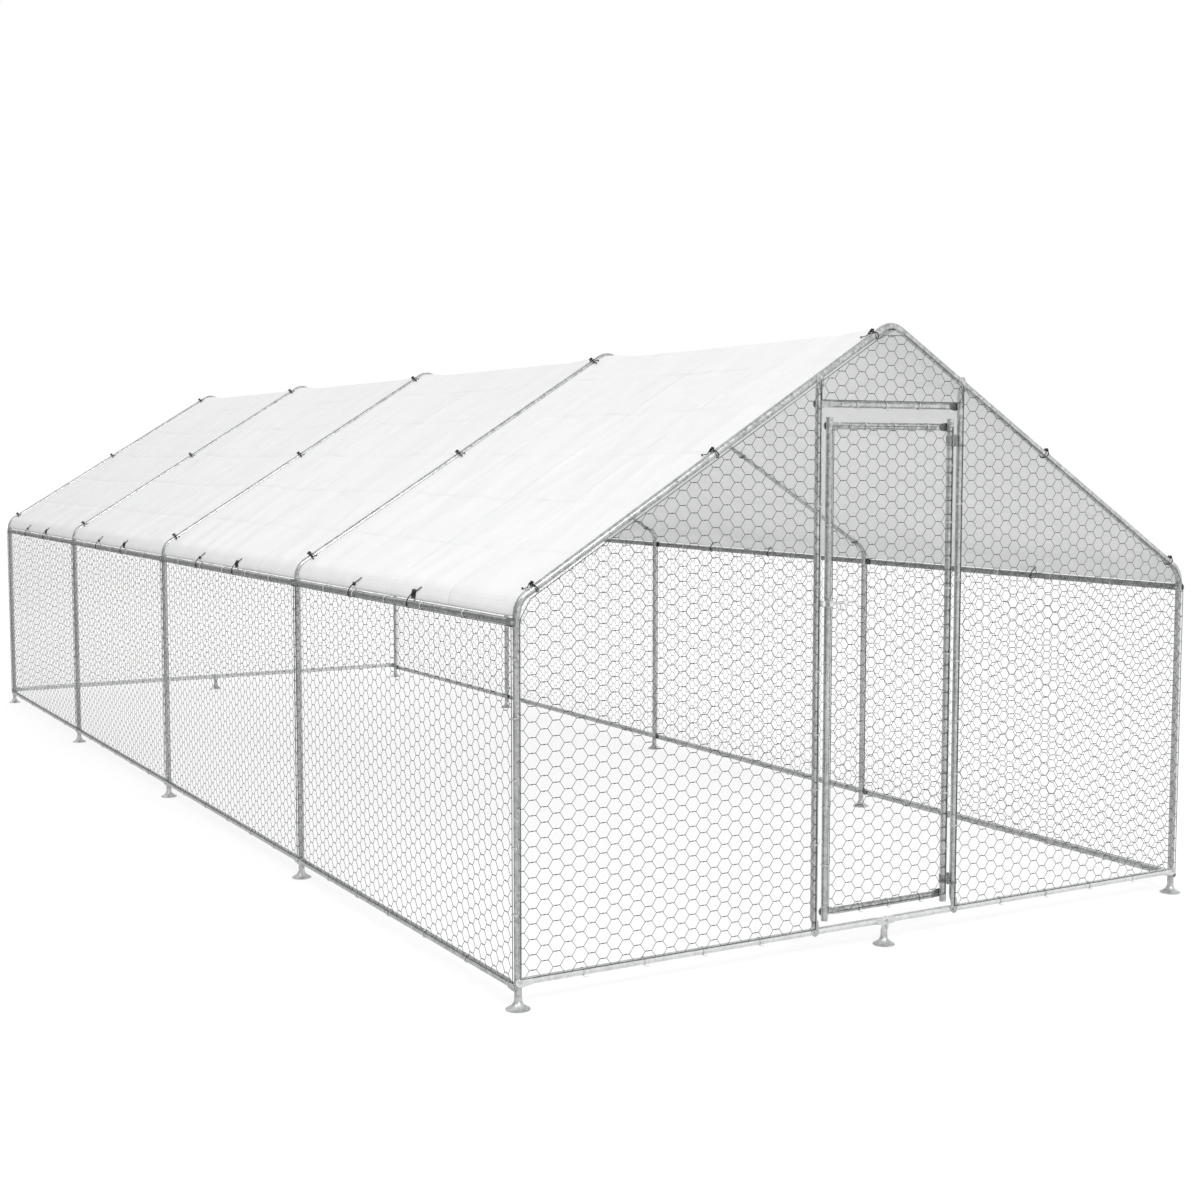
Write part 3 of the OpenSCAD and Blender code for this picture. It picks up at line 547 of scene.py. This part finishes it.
def coverPoint(s):  # place and outward direction at s metres from the left hem
    turned = s > coverHalf
    s = 2 * coverHalf - s if turned else s
    hemL, eaveL, rafterS, _ = coverParts.values()
    if s <= hemL:
        at, out = Vector((eaveC.x - coverR, 0, run["hemZ"] + s)), Vector((-1, 0, 0))
    elif s <= hemL + eaveL:
        a = math.pi - (s - hemL) / coverR
        out = Vector((math.cos(a), 0, math.sin(a)))
        at = eaveC + coverR * out
    elif s <= hemL + eaveL + rafterS:
        a = math.pi / 2 + slope
        out = Vector((math.cos(a), 0, math.sin(a)))
        at = eaveC + coverR * out + (s - hemL - eaveL) * Vector((math.cos(slope), 0, math.sin(slope)))
    else:
        a = math.pi / 2 + slope - (s - hemL - eaveL - rafterS) / coverR
        out = Vector((math.cos(a), 0, math.sin(a)))
        at = ridgeC + coverR * out
    if turned:
        at, out = mirrorX @ at, mirrorX @ out
    return at, out


def ease(x, low, high):
    t = min(max((x - low) / (high - low), 0), 1)
    return t * t * (3 - 2 * t)


def coverStations(length):  # grid lines, closer together at the hems
    hem = cover["hem"]
    rim = [0, cover["hemEdge"], hem - cover["hemStep"], hem]
    count = round((length - 2 * hem) / cover["grid"])
    return (rim + [hem + (length - 2 * hem) * k / count for k in range(1, count)]
            + [length - x for x in reversed(rim)])


def coverLift(bay, s, v, width):  # how far the sheet stands out at s along the roof and v along the run
    fromHem, fromSide = min(s, 2 * coverHalf - s), min(v, width - v)
    upRafter = fromHem - coverParts["hem"] - coverParts["eave"]
    along = min(max(upRafter / coverParts["straight"], 0), 1)
    onPole = 1 - ease(abs(s - coverHalf), *cover["poleHold"])
    loose = ease(fromSide, *cover["sideHold"]) * ease(fromHem, *cover["hemHold"]) * (1 - 0.85 * onPole)
    lift = -cover["sag"] * math.sin(math.pi * v / width) ** 1.4 * math.sin(math.pi * along) ** 0.8
    seed = 11.3 * bay + (4.7 if s > coverHalf else 0)
    drift = noise.noise(Vector((s * 0.9, v * 1.4, seed)))
    pull = math.exp(-fromHem / cover["foldReach"]) * ease(fromHem, *cover["foldStart"])
    wave = math.sin(2 * math.pi * (v / cover["foldStep"] + drift * 1.3))
    lift += cover["fold"] * pull * wave * ease(fromSide, *cover["foldSide"])
    slant = Vector((s * 2.0 + v * 1.3, v * 3.4 - s * 1.2, seed))
    lift += cover["wrinkle"] * loose * (noise.noise(slant) * 0.7 + noise.noise(slant * 2.7) * 0.3)
    ridged = 1 - abs(noise.noise(Vector((s * 3.1 - v * 2.2, v * 5.2 + s, seed + 3)))) * 2.4
    lift += cover["wrinkle"] * 0.45 * loose * max(ridged, 0) ** 3
    for value, step, sign in zip((s, v), sheeting["creaseStep"], (-1, 1)):
        off = (value / step + 0.5) % 1 - 0.5
        lift += sign * cover["crease"] * loose * math.exp(-(off * step / cover["creaseHalf"]) ** 2)
    lift -= cover["hemRise"] * ease(min(fromHem, fromSide), cover["hem"] - cover["hemStep"], cover["hem"])
    return lift - cover["ridgeDip"] * onPole * ease(fromSide, *cover["dipHold"])


def makeCover(bay):
    width = pitch - run["coverSlot"]
    sLines, vLines = coverStations(2 * coverHalf), coverStations(width)
    bm = bmesh.new()
    bmesh.ops.create_grid(bm, x_segments=len(sLines) - 1, y_segments=len(vLines) - 1, size=0.5)
    uv = bm.loops.layers.uv.new("flat")
    flat = {}
    y0 = frameY(bay) + run["coverSlot"] / 2
    for vert in bm.verts:
        s = sLines[round((vert.co.x + 0.5) * (len(sLines) - 1))]
        v = vLines[round((vert.co.y + 0.5) * (len(vLines) - 1))]
        flat[vert] = (v, s)
        at, out = coverPoint(s)
        vert.co = at + out * coverLift(bay, s, v, width) + Vector((0, y0 + v, 0))
    for face in bm.faces:
        for loop in face.loops:
            loop[uv].uv = flat[loop.vert]
    obj = addPiece(f"sheeting_{bay + 1}", bm, "cover", "run", [f"cover_{bay + 1}"])
    wall = obj.modifiers.new("thickness", "SOLIDIFY")
    wall.thickness = cover["thick"]
    wall.offset = 0
    round(2 * coverHalf, 4)


for bay in range(run["bays"]):
    makeCover(bay)
print("covers: flat", round(2 * coverHalf, 3), "x", round(pitch - run["coverSlot"], 3))


# Elastic ties: a loop round the tube, a knot and short tails

ties = {
    "cord": 0.004, "lowS": 0.075, "ridgeGap": 0.040, "plainShare": 0.68, "buckleShare": 0.40,
    "knot": 0.0027, "knotSteps": 24, "knotUp": 0.0200, "bead": 0.0036, "tailShare": 0.8, "eaveKnotShare": 0.8,
    "tails": ((-0.5, 0.026), (0.35, 0.0078)),  # slant, and length on the cover
    "tailPath": [(0.008, 0.010, 0.0185), (0.014, 0.0215, 0.0105), (0.020, 0.029, 0.0056),
                 (0.028, 0.030, 0.0042)],
    # routes of the loops in millimetres: across and square to the rafter, then x, z and y at the eave
    "loop": [(21.3, 0), (19, 6.8), (13, 11.8), (6.5, 14.2), (0, 14.9),
             (-6.5, 14.2), (-13, 11.8), (-19, 6.8), (-21.3, 0),
             (-19.5, -6), (-13.8, -11.2), (-7, -14), (0, -14.9), (7, -14), (13.8, -11.2), (19.5, -6)],
    "eaveLoop": [(-1489.5, 1281, 0), (-1498, 1276, 3), (-1505.5, 1264, 10), (-1507.4, 1250, 20),
                 (-1506.6, 1240, 26), (-1501, 1231, 31), (-1492.4, 1228.6, 34), (-1483.8, 1231, 31),
                 (-1478.2, 1240, 26), (-1477.2, 1250, 20), (-1478.5, 1264, 10), (-1481.5, 1275, 3),
                 (-1484, 1279, 0)],
    "eaveKnot": (-1.4925, 0, 1.2805),
    "eaveTail": [(-1.4925, 0, 1.2805), (-1.4900, -0.012, 1.2870), (-1.4855, -0.028, 1.2945),
                 (-1.4793, -0.048, 1.3070)],
}


def knotPath(size):
    path = []
    for k in range(ties["knotSteps"]):
        t = 2 * math.pi * k / ties["knotSteps"]
        path.append(size * Vector((math.sin(t) + 2 * math.sin(2 * t), math.cos(t) - 2 * math.cos(2 * t),
                                   -1.3 * math.sin(3 * t))))
    return path


def rafterTie(front):  # front is the side where the tails lie on the cover
    bm = bmesh.new()
    r = ties["cord"] / 2
    sweep(bm, smoothPath([(0, y / 1000, z / 1000) for y, z in ties["loop"]], 2, True), r, 6, True)
    knot = Vector((0, 0, ties["knotUp"]))
    sweep(bm, [knot + p for p in knotPath(ties["knot"])], r, 5, True)
    for slant, length in ties["tails"]:
        tail = [Vector((slant * x, front * y, z)) for x, y, z in ties["tailPath"]]
        tail[-1].y += front * length
        sweep(bm, smoothPath([knot] + tail, 3), r * ties["tailShare"], 6)
        end = Matrix.Translation(tail[-1])
        bmesh.ops.create_icosphere(bm, subdivisions=2, radius=ties["bead"], matrix=end)
    return smallMesh(bm, "rafterTie")


def eaveTie():
    bm = bmesh.new()
    r = ties["cord"] / 2
    loop = [(x / 1000, y / 1000, z / 1000) for x, z, y in ties["eaveLoop"]]
    sweep(bm, smoothPath(loop, 3, True), r, 6, True)
    knot = knotPath(ties["knot"] * ties["eaveKnotShare"])
    sweep(bm, [Vector(ties["eaveKnot"]) + p.zyx for p in knot], r, 5, True)
    sweep(bm, smoothPath(ties["eaveTail"], 3), r, 6)
    return smallMesh(bm, "eaveTie")


def makeTies():
    bm = bmesh.new()
    backward, forward, eave = rafterTie(1), rafterTie(-1), eaveTie()
    for i in range(run["bays"] + 1):
        onRafter = backward if i == 0 else forward
        for s in (ties["lowS"], rafterL / 2):
            stamp(bm, onRafter, rafterPlace(i, s))
            stamp(bm, onRafter, mirrorX @ rafterPlace(i, s))
        stamp(bm, onRafter, rafterPlace(i, rafterL - ridgeTan - ties["ridgeGap"]))
    for i in range(run["bays"]):
        for share in (ties["plainShare"], ties["buckleShare"]):
            place = Matrix.Translation((0, frameY(i) + share * pitch, 0))
            stamp(bm, eave, place)
            stamp(bm, eave, mirrorX @ place)
    addPiece("elasticTies", bm, "tie", "run", ["cover_ties"])


makeTies()
print("elastic ties done")


# Black tabs at the eave ties

tab = {
    "side": 0.034, "thick": 0.0024, "corner": 0.006, "hole": 0.0083, "rim": 0.0009,
    "angle": 170, "up": 0.0007,
}


def tabMesh():
    bm = bmesh.new()
    bmesh.ops.create_grid(bm, x_segments=1, y_segments=1, size=tab["side"] / 2)
    bmesh.ops.bevel(bm, geom=bm.verts[:], offset=tab["corner"], segments=4, profile=0.5,
                    affect="VERTICES", material=-1)
    face = max(bm.faces, key=lambda f: f.calc_area())
    edges = list(face.edges)
    ring = bmesh.ops.create_circle(bm, segments=20, radius=tab["hole"])["verts"]
    bmesh.ops.delete(bm, geom=[face], context="FACES_ONLY")
    bmesh.ops.bridge_loops(bm, edges=edges + list({e for v in ring for e in v.link_edges}))
    grown = bmesh.ops.extrude_face_region(bm, geom=bm.faces[:])["geom"]
    top = [g for g in grown if isinstance(g, bmesh.types.BMVert)]
    bmesh.ops.translate(bm, vec=(0, 0, tab["thick"]), verts=top)
    bmesh.ops.translate(bm, vec=(0, 0, tab["up"]), verts=bm.verts)
    bmesh.ops.recalc_face_normals(bm, faces=bm.faces)
    sharp = [e for e in bm.edges if e.calc_face_angle(0) > 1]
    bmesh.ops.bevel(bm, geom=sharp, offset=tab["rim"], segments=2, profile=0.5, affect="EDGES", material=-1)
    return smallMesh(bm, "eaveTab")


def makeTabs():
    bm, mesh = bmesh.new(), tabMesh()
    a = math.radians(tab["angle"])
    at = eaveC + coverR * Vector((math.cos(a), 0, math.sin(a)))
    for i in range(run["bays"]):
        place = Matrix.Translation(at + Vector((0, frameY(i) + ties["buckleShare"] * pitch, 0)))
        place @= Matrix.Rotation(math.pi / 2 - a, 4, "Y")
        stamp(bm, mesh, place)
        stamp(bm, mesh, mirrorX @ place)
    addPiece("eaveTabs", bm, "buckle", "run", ["cover_buckles"])


makeTabs()
print("eave tabs done")


# Wire ties that hold the netting: two turns and a twisted tail

bands = {
    "wire": 0.0022, "turns": (-0.0016, 0.0016), "steps": 12, "slack": 0.0002, "climb": 0.0008, "over": 0.0025,
    "tailRoot": 0.3, "tail": [(0, 0, 0), (0, 0.005, 0.004), (0, 0.004, 0.018)],
    "post": (0.2, 0.385, 0.57, 0.74, 0.9), "doorPost": (0.17, 0.275, 0.38, 0.5, 0.66, 0.81),
    "stile": (0.1, 0.22, 0.36, 0.52, 0.66, 0.8, 0.92), "onRail": 5, "uneven": 0.02, "onEnd": 4,
    "cross": (-0.16, -0.03, 0.12), "crossIn": 0.0024, "leafShift": 0.04,
}


def bandMesh(reach):  # round a tube along local Z, reaching out over the netting along local X
    bm = bmesh.new()
    thick = bands["wire"] / 2
    r = run["tubeR"] + thick + bands["slack"]
    far = reach + thick
    for shift in bands["turns"]:
        path = []
        for k in range(bands["steps"]):
            a = 2 * math.pi * k / bands["steps"]
            c, s = math.cos(a), math.sin(a)
            path.append((far * c if c > 0 else r * c, r * s, shift + bands["climb"] * s))
        sweep(bm, path, thick, 4, True)
    root = Vector((bands["tailRoot"] * far, r, 0))
    sweep(bm, [root + Vector(p) for p in bands["tail"]], thick, 4)
    return smallMesh(bm, "wireBand")


def bandPlace(at, along, out):
    along, out = Vector(along), Vector(out)
    across = along.cross(out)
    turn = Matrix([[out[k], across[k], along[k]] for k in range(3)])
    return Matrix.Translation(at) @ turn.to_4x4()


def makeBands():
    bm, leaf = bmesh.new(), bmesh.new()
    onTube = bandMesh(run["tubeR"] + bands["over"])
    onPost = bandMesh(run["railOut"] + run["tubeR"] + bands["over"])
    for sx in (-1, 1):
        for i in range(run["bays"] + 1):
            for share in bands["post"]:
                z = run["baseZ"] + share * (eaveZ - run["baseZ"])
                stamp(bm, onPost, bandPlace((sx * run["postX"], frameY(i), z), (0, 0, 1), (sx, 0, 0)))
        railX = sx * (run["postX"] + run["railOut"])
        for i in range(run["bays"]):
            for k in range(1, bands["onRail"] + 1):
                share = k / (bands["onRail"] + 1) + bands["uneven"] * math.sin(7.0 * k + 3 * i)
                y = frameY(i) + pitch * share
                for z in (run["baseZ"], eaveZ):
                    stamp(bm, onTube, bandPlace((railX, y, z), (0, 1, 0), (sx, 0, 0)))
        for share in bands["doorPost"]:
            z = run["endZ"] + share * (run["headerZ"] - run["endZ"])
            stamp(bm, onTube, bandPlace((sx * run["doorX"], run["doorPostY"], z), (0, 0, 1), (0, -1, 0)))
        for share in bands["stile"]:
            z = run["leafBottomZ"] + share * (run["leafTopZ"] - run["leafBottomZ"])
            stamp(leaf, onTube, bandPlace((sx * run["stileX"], run["doorPostY"], z), (0, 0, 1), (0, -1, 0)))
        for k in range(1, bands["onEnd"] + 1):
            x = sx * (run["doorX"] + (run["postX"] - run["doorX"]) * k / (bands["onEnd"] + 1))
            for sy in (-1, 1):
                at = (x, sy * (run["endY"] + run["railOut"]), run["endZ"])
                stamp(bm, onTube, bandPlace(at, (1, 0, 0), (0, sy, 0)))
    crossY = run["doorPostY"] + bands["crossIn"]
    for x in bands["cross"]:
        stamp(bm, onTube, bandPlace((x, crossY, run["headerZ"]), (1, 0, 0), (0, -1, 0)))
        for z in (run["leafTopZ"], run["leafBottomZ"]):
            stamp(leaf, onTube, bandPlace((x + bands["leafShift"], crossY, z), (1, 0, 0), (0, -1, 0)))
    addPiece("nettingBands", bm, "tieWire", "run", ["net_ties"])
    addPiece("doorNettingBands", leaf, "tieWire", "door")


makeBands()
print("wire bands done")


# CAD nodes that stay: smooth shading over merged corners, and their finish

# the eave rails take the darker rail finish, which is painted shade
cadFinish = {
    # the base rails take the pale tube finish, which is a painted highlight
    "eave_rails_left": "rail", "eave_rails_right": "rail", "base_rails_front": "highlightPaleTube",
    "base_rails_back": "highlightPaleTube", "post_feet": "foot", "middle_feet": "foot", "cover_eyelets": "eyelet",
    "frame_bolts": "bolt", "frame_nuts": "bolt", "door_rivets": "bolt", "hinge_pintles": "hinge",
    "hinge_eyes": "hinge", "latch_guide": "latch", "latch_bolt": "latch", "latch_keeper": "latch",
}
rounded = {
    "frame_bolts": 0.0009, "frame_nuts": 0.0006, "door_rivets": 0.0008, "latch_guide": 0.0012,
    "latch_keeper": 0.0012, "hinge_pintles": 0.0006, "hinge_eyes": 0.0006,
}
cadEdges = {"weld": 2e-6, "rounded": 40, "sharp": 35}


def dressCad():
    for name, obj in cadNodes.items():
        if obj.hide_render:
            continue
        obj.data.materials.clear()
        obj.data.materials.append(finishes[cadFinish.get(name, "tube")])
        obj.data.polygons.foreach_set("use_smooth", [True] * len(obj.data.polygons))
        weld = obj.modifiers.new("weld", "WELD")
        weld.merge_threshold = cadEdges["weld"]
        if name in rounded:
            bevel = obj.modifiers.new("rounding", "BEVEL")
            bevel.width = rounded[name]
            bevel.segments = 2
            bevel.limit_method = "ANGLE"
            bevel.angle_limit = math.radians(cadEdges["rounded"])
        split = obj.modifiers.new("split", "EDGE_SPLIT")
        split.split_angle = math.radians(cadEdges["sharp"])


dressCad()
print("CAD nodes dressed")


# Floor

def makeFloor():
    bm = bmesh.new()
    bmesh.ops.create_grid(bm, x_segments=1, y_segments=1, size=studio["floor"])
    mesh = bpy.data.meshes.new("floor")
    bm.to_mesh(mesh)
    bm.free()
    mesh.materials.append(finishes["floor"])
    floor = bpy.data.objects.new("floor", mesh)
    scene.collection.objects.link(floor)


makeFloor()
